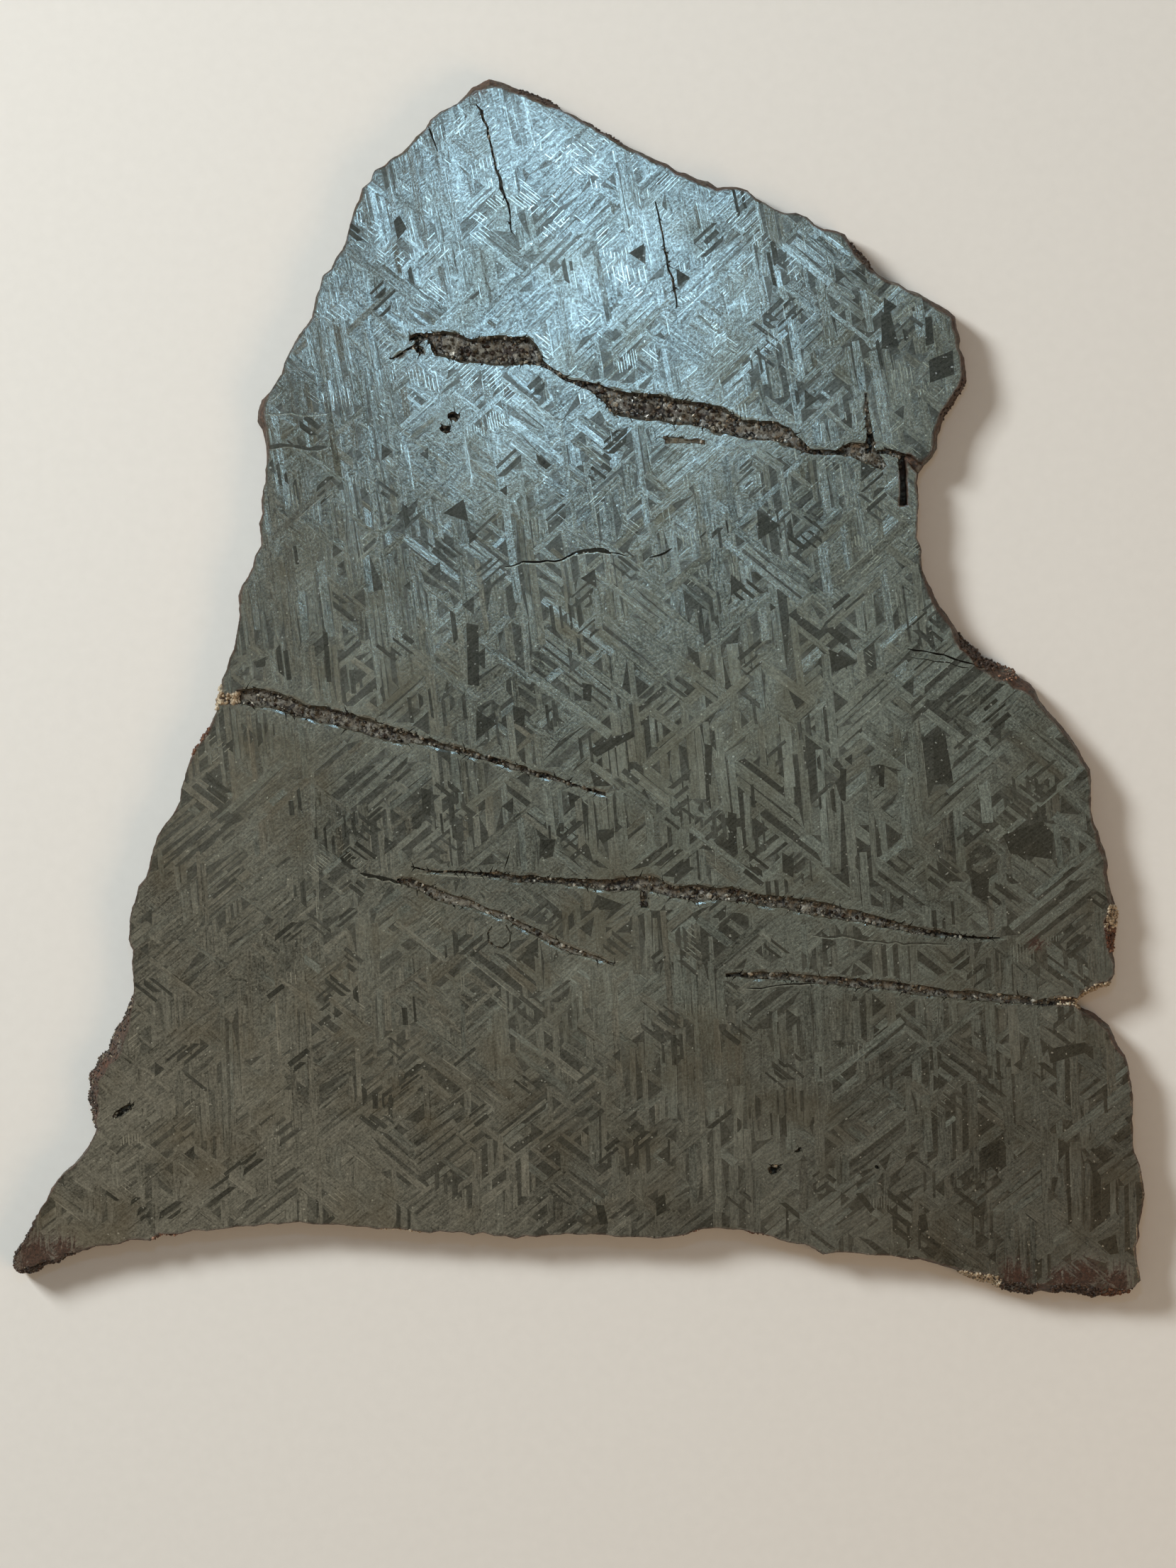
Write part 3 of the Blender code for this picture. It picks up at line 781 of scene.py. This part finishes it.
side_faces = [f for f in shape.faces if not is_back(f)]
rim_gaps = gaps_to_loops([f.calc_center_median().xy / MM for f in side_faces], [back_loop])
for face in shape.faces:
    face.material_index = SAWN
for face, rim_gap in zip(side_faces, rim_gaps):
    face.material_index = RIM if rim_gap < RIM_REACH else FILLING
fill_front(shape, border, front_pieces(dark_fields, bands, outline, plain, rng), plain)
bmesh.ops.recalc_face_normals(shape, faces=shape.faces)
slab_mesh = bpy.data.meshes.new("slab")
shape.to_mesh(slab_mesh)
shape.free()
wall_gaps = gaps_to_loops([vert.co.xy / MM for vert in slab_mesh.vertices], front_loops)
slab_mesh.attributes.new("wall_gap", "FLOAT", "POINT").data.foreach_set("value", wall_gaps)
slab = add_object("slab", slab_mesh)


class Signal:
    """A shader node's output. Arithmetic with signals and numbers adds Math nodes."""

    def __init__(self, tree, socket=None):
        self.tree = tree
        self.socket = socket

    def node(self, kind, settings=None, inputs=None, output=0):
        """Adds any other node, with its settings by name and its inputs by name or number."""
        made = self.tree.nodes.new(kind)
        for name, value in (settings or {}).items():
            setattr(made, name, value)
        for name, value in (inputs or {}).items():
            if isinstance(value, Signal):
                self.tree.links.new(value.socket, made.inputs[name])
            else:
                made.inputs[name].default_value = value
        return Signal(self.tree, made.outputs[output])

    def maths(self, operation, *values):
        return self.node("ShaderNodeMath", {"operation": operation}, dict(enumerate(values)))

    def __add__(self, other):
        return self.maths("ADD", self, other)

    __radd__ = __add__

    def __sub__(self, other):
        return self.maths("SUBTRACT", self, other)

    def __rsub__(self, other):
        return self.maths("SUBTRACT", other, self)

    def __mul__(self, other):
        return self.maths("MULTIPLY", self, other)

    __rmul__ = __mul__

    def ramp(self, low, high, to_low=0.0, to_high=1.0):
        """Maps low..high to to_low..to_high and stops there."""
        inputs = {"From Min": low, "From Max": high, "To Min": to_low, "To Max": to_high}
        return self.node("ShaderNodeMapRange", {"clamp": True}, {"Value": self, **inputs})

    def vector(self, operation, *values, output=0):
        numbered = dict(enumerate(values))
        return self.node("ShaderNodeVectorMath", {"operation": operation}, numbered, output)

    def mix(self, share, first, second):
        """A colour between two, each of them a signal or 0-255 values."""
        colours = {6: first, 7: second}
        for socket, colour in colours.items():
            if not isinstance(colour, Signal):
                colours[socket] = srgb(colour)
        return self.node("ShaderNodeMix", {"data_type": "RGBA"}, {0: share, **colours}, 2)

    def noise(self, vector, scale, detail=2.0, roughness=0.5):
        inputs = {"Vector": vector, "Scale": scale, "Detail": detail, "Roughness": roughness}
        return self.node("ShaderNodeTexNoise", None, inputs)

    def bump(self, strength, depth, height, normal=None):
        """A bump of some millimetres, on a given normal or the surface's own."""
        inputs = {"Strength": strength, "Distance": depth * MM, "Height": height}
        if normal:
            inputs["Normal"] = normal
        return self.node("ShaderNodeBump", None, inputs)


def srgb(colour):
    """A colour written as 0-255 display values, as the linear one that a socket takes."""
    parts = [c / 255 for c in colour]
    return (*(p / 12.92 if p <= 0.04045 else ((p + 0.055) / 1.055) ** 2.4 for p in parts), 1.0)


def new_material(name, **constants):
    """A material, a signal to build on and the main shader with its constant inputs set."""
    material = bpy.data.materials.new(name)
    material.use_nodes = True
    shader = material.node_tree.nodes["Principled BSDF"]
    for socket, value in constants.items():
        shader.inputs[socket.replace("_", " ")].default_value = value
    return material, Signal(material.node_tree), shader


def feed(shader, **signals):
    for socket, signal in signals.items():
        signal.tree.links.new(signal.socket, shader.inputs[socket.replace("_", " ")])


def place_in_mm(start):
    place = start.node("ShaderNodeTexCoord", output="Object")
    return start.node("ShaderNodeVectorMath", {"operation": "SCALE"}, {0: place, "Scale": 1 / MM})


def attribute(start, name, output="Fac"):
    return start.node("ShaderNodeAttribute", {"attribute_name": name}, output=output)


# Rust stains on the face: the middle in photo pixels and the reach in millimetres
STAINS = [
    ((48, 1774), 3.6), ((88, 1764), 2.2), ((1432, 1800), 2.3), ((1500, 1806), 2.2), ((1530, 1800), 2.8),
    ((1575, 1806), 2.4), ((165, 1400), 1.6), ((1463, 1332), 0.9), ((668, 112), 2.2), ((1240, 352), 1.2),
]


def etched_iron():
    """Grey metal. Each band has its own brightness, a slight lean and streaks along it."""
    material, start, shader = new_material("etched_iron")
    place = place_in_mm(start)
    grain = attribute(start, "grain", "Vector")
    tone = attribute(start, "tone")
    field = attribute(start, "field")
    across = start.vector("CROSS_PRODUCT", grain, (0, 0, 1))
    along_band = start.vector("DOT_PRODUCT", place, grain, output="Value")
    across_band = start.vector("DOT_PRODUCT", place, across, output="Value")
    streak_place = start.node(
        "ShaderNodeCombineXYZ", None, {0: along_band * 0.7, 1: across_band * 5.0, 2: tone * 40.0})
    streaks = start.noise(streak_place, 1.0, 1.0)
    speckle = start.noise(place, 4.6, 3.0, 0.75)
    clouds = start.noise(place, 0.11, 2.0)
    # Painted glints: a few cells of a fine grid, more of them in dark fields, become near-white specks
    cells = start.node("ShaderNodeTexVoronoi", None, {"Vector": place, "Scale": 6.5}, "Color")
    chance = start.node("ShaderNodeSeparateColor", None, {0: cells})
    painted_sparkle = start.maths("GREATER_THAN", chance, 0.9985 - 0.006 * field)
    grit = 0.7 * (streaks - 0.5) + 1.4 * (speckle - 0.5) + 0.55 * (clouds - 0.5)
    # Faces with a tone above 2 are painted glints and highlights: the tone lifts their colour towards the
    # lightest metal
    light = 0.45 + 0.11 * tone + grit
    metal = start.mix(light, (75, 75, 69), (192, 192, 181))
    brownish = start.noise(place, 0.14, 3.0).ramp(0.48, 0.68, 0.0, 0.4)
    metal = start.mix(brownish, metal, (122, 110, 88))
    dull = start.mix(0.4 + grit, (46, 46, 41), (94, 93, 83))
    colour = start.mix(field * 0.9, metal, dull)
    cracked = field.ramp(1.0, 2.0)
    colour = start.mix(cracked, colour, (18, 16, 15))
    colour = start.mix(painted_sparkle * 0.55, colour, (228, 228, 216))
    stain = attribute(start, "near_rim").ramp(0.1, 0.9, 0.0, 0.8)
    for spot, reach in STAINS:
        gap = start.vector("DISTANCE", place, (*photo_to_mm(spot), FRONT_IN_MM), output="Value")
        near = (gap + 3.5 * (streaks - 0.5) + 2.0 * (speckle - 0.5)).ramp(reach, 0.35 * reach)
        stain = start.maths("MAXIMUM", stain, near)
    stained = start.mix(speckle.ramp(0.35, 0.65), (38, 25, 20), (78, 50, 39))
    colour = start.mix(stain * 0.92, colour, stained)
    polished = tone.ramp(2.0, 4.0, 0.0, 0.09)
    roughness = 0.205 + 0.15 * field - 0.12 * (speckle - 0.5) - polished
    feed(shader, Base_Color=colour, Metallic=1.0 - 0.75 * stain, Roughness=roughness)
    facing = start.node("ShaderNodeNewGeometry", output="Normal")
    lean = attribute(start, "lean", "Vector")
    leaning = start.vector("NORMALIZE", start.vector("ADD", facing, lean))
    relief = speckle * 0.6 + streaks * 0.4
    feed(shader, Normal=start.bump(0.36, 0.05, relief, leaning))
    return material


def natural_rim():
    """The meteorite's weathered outside: brown iron oxide, orange rust and bare worn metal."""
    material, start, shader = new_material("natural_rim")
    place = place_in_mm(start)
    patches = start.noise(place, 0.35, 4.0, 0.6)
    grit = start.noise(place, 2.6, 3.0, 0.7)
    crust = start.mix(grit.ramp(0.35, 0.65), (30, 25, 22), (88, 68, 54))
    rust = start.mix(grit.ramp(0.4, 0.7), (54, 36, 28), (98, 66, 48))
    worn = start.mix(grit.ramp(0.3, 0.7), (52, 52, 48), (112, 110, 100))
    colour = start.mix(patches.ramp(0.56, 0.64), crust, rust)
    bare = patches.ramp(0.47, 0.41) * grit.ramp(0.4, 0.5)
    colour = start.mix(bare, colour, worn)
    feed(shader, Base_Color=colour, Metallic=bare * 0.4, Roughness=0.7 - 0.1 * bare)
    feed(shader, Normal=start.bump(0.6, 0.15, grit))
    return material


# How far in from a fissure's walls its rusty core starts, in millimetres
CORE_GAP = 0.95


def fissure_filling():
    """Minerals packed in the fissures: grey grit, a darker rusty core in the upper one and cracks."""
    material, start, shader = new_material("fissure_filling")
    place = place_in_mm(start)
    grit = start.noise(place, 2.2, 3.0, 0.8)
    patches = start.noise(place, 0.45, 3.0)
    light = grit.ramp(0.36, 0.6)
    grey = start.mix(light, (30, 29, 27), (112, 111, 103))
    brown = start.mix(grit.ramp(0.4, 0.64), (21, 17, 16), (88, 71, 62))
    upward = start.node("ShaderNodeSeparateXYZ", None, {0: place}, "Y")
    height = start.node("ShaderNodeSeparateXYZ", None, {0: place}, "Z")
    from_wall = attribute(start, "wall_gap") + 2.4 * (patches - 0.5)
    core = from_wall.ramp(CORE_GAP - 0.15, CORE_GAP + 0.15)
    rusty = upward.ramp(18.0, 27.0, 0.1, 0.35) + 1.4 * (patches - 0.5) + 0.6 * core
    colour = start.mix(rusty, grey, brown)
    colour = start.mix(0.6 * core, colour, (25, 19, 18))
    bare = patches.ramp(0.48, 0.56, 0.0, 0.85)
    colour = start.mix(bare, colour, start.mix(light, (50, 49, 45), (124, 124, 115)))
    flank = upward.ramp(18.0, 27.0) * (1.0 - core)
    pale = start.mix(grit.ramp(0.34, 0.62), (62, 62, 60), (160, 164, 162))
    colour = start.mix(0.7 * flank, colour, pale)
    crack = start.maths("ABSOLUTE", patches - 0.5)
    colour = start.mix(crack.ramp(0.028, 0.008), colour, (9, 8, 8))
    # Painted shade by depth: the filling is mixed towards a lighter grey near the front and keeps its
    # darker colours deeper down
    painted_depth_shade = height.ramp(FRONT_IN_MM - 0.75, FRONT_IN_MM - 0.45, 0.0, 0.8)
    colour = start.mix(painted_depth_shade, colour, start.mix(light, (58, 57, 52), (112, 111, 101)))
    lip = (height + 0.5 * grit).ramp(FRONT_IN_MM - 0.05, FRONT_IN_MM + 0.12)
    colour = start.mix(lip, colour, (128, 128, 114))
    shine = grit.ramp(0.56, 0.7, 0.0, 0.7) + 0.6 * flank
    feed(shader, Base_Color=colour, Metallic=start.maths("MAXIMUM", lip, shine))
    feed(shader, Roughness=grit.ramp(0.3, 0.7, 0.75, 0.35) - 0.15 * flank)
    feed(shader, Normal=start.bump(0.7, 0.12, grit))
    return material


def sawn_iron():
    """The back: metal as the saw left it, with fine straight marks and a few stains."""
    material, start, shader = new_material("sawn_iron", Metallic=1.0)
    place = place_in_mm(start)
    marks = start.noise(start.vector("MULTIPLY", place, (0.15, 6.0, 1.0)), 1.0, 3.0, 0.6)
    clouds = start.noise(place, 0.06, 3.0)
    colour = start.mix(marks.ramp(0.3, 0.7), (128, 126, 120), (168, 166, 158))
    colour = start.mix(clouds.ramp(0.6, 0.75, 0.0, 0.5), colour, (110, 84, 62))
    feed(shader, Base_Color=colour, Roughness=marks.ramp(0.3, 0.7, 0.34, 0.5))
    return material


for material in (etched_iron(), natural_rim(), fissure_filling(), sawn_iron()):
    slab_mesh.materials.append(material)
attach(slab, "root")
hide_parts(NODE)


# The grains in the fissures
# The fissures aren't cleanly filled: loose-looking crumbs of oxide, silicate and bright metal
# stand in them. All of them are one piece of small rough lumps that sit in the filling.
LUMP_STRETCH = (0.6, 1.5)
LUMP_JITTER = (0.8, 1.25)


def lump_shape():
    """A unit lump as points and faces."""
    made = bmesh.new()
    bmesh.ops.create_icosphere(made, subdivisions=1, radius=1.0)
    points = np.array([vert.co[:] for vert in made.verts])
    faces = np.array([[vert.index for vert in face.verts] for face in made.faces])
    made.free()
    return points, faces


def scatter_lumps(name, seats, rng):
    """One mesh of lumps. A seat is a place in metres, a size in millimetres and a colour."""
    points, faces = lump_shape()
    all_points = []
    all_faces = []
    tints = []
    for place, size, tint in seats:
        angle = rng.uniform(0, 2 * math.pi)
        axis = Vector([rng.gauss(0, 1) for _ in range(3)]).normalized()
        turn = Matrix.Rotation(angle, 3, axis)
        stretch = np.array([rng.uniform(*LUMP_STRETCH) for _ in range(3)])
        jitter = np.array([[rng.uniform(*LUMP_JITTER)] for _ in points])
        turned = (points * jitter * stretch) @ np.array(turn).T
        all_faces.append(faces + len(points) * len(all_points))
        all_points.append(turned * size * MM + np.array(place))
        tints.append(tint)
    mesh = bpy.data.meshes.new(name)
    mesh.from_pydata(np.concatenate(all_points), [], np.concatenate(all_faces))
    layer = mesh.attributes.new("tint", "FLOAT_COLOR", "FACE")
    layer.data.foreach_set("color", np.repeat([srgb(t) for t in tints], len(faces), axis=0).ravel())
    return add_object(name, mesh)


def tinted_mineral(name, metallic):
    """Rough mineral in the lump's own colour, darker in its hollows."""
    material, start, shader = new_material(name, Metallic=metallic)
    place = place_in_mm(start)
    grit = start.noise(place, 4.0, 2.0, 0.7)
    shade = start.mix(grit.ramp(0.3, 0.65), (130, 126, 120), (255, 252, 246))
    colours = {0: 1.0, 6: attribute(start, "tint", "Color"), 7: shade}
    multiply = {"data_type": "RGBA", "blend_type": "MULTIPLY"}
    colour = start.node("ShaderNodeMix", multiply, colours, 2)
    feed(shader, Base_Color=colour, Roughness=grit.ramp(0.3, 0.7, 0.7, 0.42))
    return material


CRUMB_SEED = 11
CRUMBS = 2600
CRUMB_SIZES = (0.07, 0.26)
# How far a lump's middle stands out of its bed, in parts of its size
CRUMB_RISE = 0.3
BED_DEPTH = 0.12 * MM
CRUMB_COLOURS = [(38, 34, 31), (62, 51, 45), (90, 88, 80), (114, 112, 103), (178, 180, 174)]
# How common each colour is in the upper fissure's core, by its walls and in the other fissures
CORE_SHARES = (34, 36, 16, 8, 6)
WALL_SHARES = (16, 6, 36, 32, 10)
LOWER_SHARES = (12, 8, 34, 34, 12)
UPPER_FISSURE_ABOVE = 22 * MM
crumb_rng = random.Random(CRUMB_SEED)
fillings = [p for p in slab_mesh.polygons if p.material_index == FILLING]
beds = [p for p in fillings if p.center.z < FRONT - BED_DEPTH]
crumbs = []
for bed in crumb_rng.choices(beds, [p.area for p in beds], k=CRUMBS):
    size = CRUMB_SIZES[0] + (CRUMB_SIZES[1] - CRUMB_SIZES[0]) * crumb_rng.random() ** 2
    shares = LOWER_SHARES
    if bed.center.y > UPPER_FISSURE_ABOVE:
        shares = CORE_SHARES if wall_gaps[bed.vertices[0]] > CORE_GAP else WALL_SHARES
    tint = crumb_rng.choices(CRUMB_COLOURS, shares)[0]
    crumbs.append((bed.center + bed.normal * size * CRUMB_RISE * MM, size, tint))
grains = scatter_lumps("fissure_grains", crumbs, crumb_rng)
grains.data.materials.append(tinted_mineral("grain_mineral", 0.35))
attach(grains, "root")

# The crust on the rim
# Patches of pale mineral and of rust cling to the rim. They are lumps as well, in the places
# and colours where the photograph shows them.
CRUST_SEED = 23
CRUST_ABOVE = 0.8 * MM
CLOD_SIZES = (0.5, 1.2)
CLOD_RISE = 0.2
BEIGE = [(196, 184, 162), (170, 154, 130), (214, 206, 188)]
RUST = [(104, 64, 44), (78, 50, 38), (124, 84, 58)]
BROWN = [(64, 48, 40), (82, 64, 52), (46, 36, 31)]
PINK = [(160, 126, 108), (106, 82, 68)]
MOTTLED = [(52, 43, 38), (42, 36, 33), (76, 62, 54), (84, 60, 49), (146, 138, 124), (80, 76, 69)]
# A patch has a middle in photo pixels, a reach in millimetres, a number of lumps, and their size
# in millimetres and their colours.
CRUST_PATCHES = [
    ((318, 985), 1.5, 90, 0.24, BEIGE), ((282, 1045), 1.7, 60, 0.16, RUST),
    ((160, 1425), 2.6, 120, 0.13, MOTTLED), ((142, 1490), 2.8, 140, 0.13, MOTTLED),
    ((128, 1555), 2.8, 130, 0.13, MOTTLED), ((60, 1762), 3.4, 190, 0.17, BROWN),
    ((30, 1785), 1.8, 90, 0.17, MOTTLED), ((235, 1745), 1.6, 40, 0.15, PINK),
    ((565, 1735), 2.2, 40, 0.12, BEIGE), ((968, 1728), 1.6, 30, 0.12, RUST),
    ((1070, 1743), 1.2, 30, 0.12, RUST), ((1385, 1800), 2.4, 220, 0.17, BEIGE),
    ((1440, 1808), 2.0, 130, 0.17, BROWN), ((1520, 1815), 2.6, 170, 0.18, BROWN),
    ((1575, 1812), 1.8, 100, 0.17, RUST), ((1563, 1294), 1.4, 130, 0.17, BEIGE),
    ((1564, 1325), 1.4, 130, 0.16, RUST), ((1545, 1392), 1.9, 170, 0.14, BEIGE),
    ((1400, 900), 3.4, 150, 0.18, BROWN), ((1425, 945), 1.4, 40, 0.15, PINK),
    ((760, 140), 2.4, 90, 0.14, BROWN), ((850, 185), 2.4, 60, 0.12, BROWN),
    ((1215, 360), 1.8, 60, 0.15, BROWN), ((1345, 560), 2.4, 60, 0.12, BROWN),
    ((1508, 1410), 1.6, 110, 0.15, BEIGE),
]
crust_rng = random.Random(CRUST_SEED)
rim_faces = [p for p in slab_mesh.polygons if p.material_index == RIM and p.center.z > CRUST_ABOVE]
rim_places = np.array([p.center.xy / MM for p in rim_faces])
clods = []
for spot, reach, count, size, colours in CRUST_PATCHES:
    gaps = np.hypot(*(rim_places - photo_to_mm(spot)).T)
    near = np.flatnonzero(gaps < reach)
    for index in crust_rng.choices(list(near), k=count):
        seat = rim_faces[index]
        across = size * crust_rng.uniform(*CLOD_SIZES)
        place = seat.center + seat.normal * CLOD_RISE * across * MM
        clods.append((place, across, crust_rng.choice(colours)))
crust = scatter_lumps("rim_crust", clods, crust_rng)
crust.data.materials.append(tinted_mineral("crust_mineral", 0.0))
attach(crust, "root")

# The floor, the light and the camera
# The slice can't stand by itself, so it lies on a pale matt board. A large cool light overhead
# mirrors in the upper part of the face, and another from the left throws a short soft shadow.
FLOOR_SIZE = 1200 * MM
FLOOR_DROP = 0.03 * MM
bpy.ops.mesh.primitive_plane_add(size=FLOOR_SIZE, location=(0, 0, -FLOOR_DROP))
floor = bpy.context.object
floor.name = "floor"
board, start, shader = new_material("pale_board", Roughness=0.8)
paper = start.noise(place_in_mm(start), 0.8, 3.0)
feed(shader, Base_Color=start.mix(paper, (217, 220, 220), (223, 226, 226)))
floor.data.materials.append(board)


def add_area_light(name, place, target, size, power, colour):
    """A square soft light at a place in millimetres, turned to a target."""
    data = bpy.data.lights.new(name, "AREA")
    data.size = size * MM
    data.energy = power
    data.color = srgb(colour)[:3]
    light = add_object(name, data)
    light.location = Vector(place) * MM
    aim = Vector(target) - Vector(place)
    light.rotation_euler = aim.to_track_quat("-Z", "Y").to_euler()


add_area_light("overhead", (-4, 94, 354), (-2, 46, 0), 34, 0.055, (170, 216, 255))
add_area_light("wide_overhead", (24, 56, 500), (12, 20, 0), 190, 0.040, (214, 240, 236))
add_area_light("from_below_left", (-150, -130, 700), (-50, -50, 0), 260, 0.047, (255, 243, 222))
add_area_light("from_left", (-430, 290, 390), (0, 0, 0), 170, 4.1, (253, 251, 245))
add_area_light("warm_fill", (380, -260, 420), (0, 0, 0), 300, 0.9, (255, 200, 148))
world = bpy.data.worlds.new("room")
world.use_nodes = True
room_light = world.node_tree.nodes["Background"].inputs
room_light["Color"].default_value = srgb((255, 245, 226))
room_light["Strength"].default_value = 0.2
bpy.context.scene.world = world

VIEW_CENTRE = (0.9, -10.3)
VIEW_HEIGHT = 166.4
VIEW_DISTANCE = 420.0
camera_data = bpy.data.cameras.new("camera")
camera_data.sensor_fit = "VERTICAL"
camera_data.sensor_height = 24.0
camera_data.lens = camera_data.sensor_height * VIEW_DISTANCE / VIEW_HEIGHT
camera = add_object("camera", camera_data)
camera.location = (VIEW_CENTRE[0] * MM, VIEW_CENTRE[1] * MM, FRONT + VIEW_DISTANCE * MM)
bpy.context.scene.camera = camera
bpy.context.scene.view_settings.view_transform = "Standard"
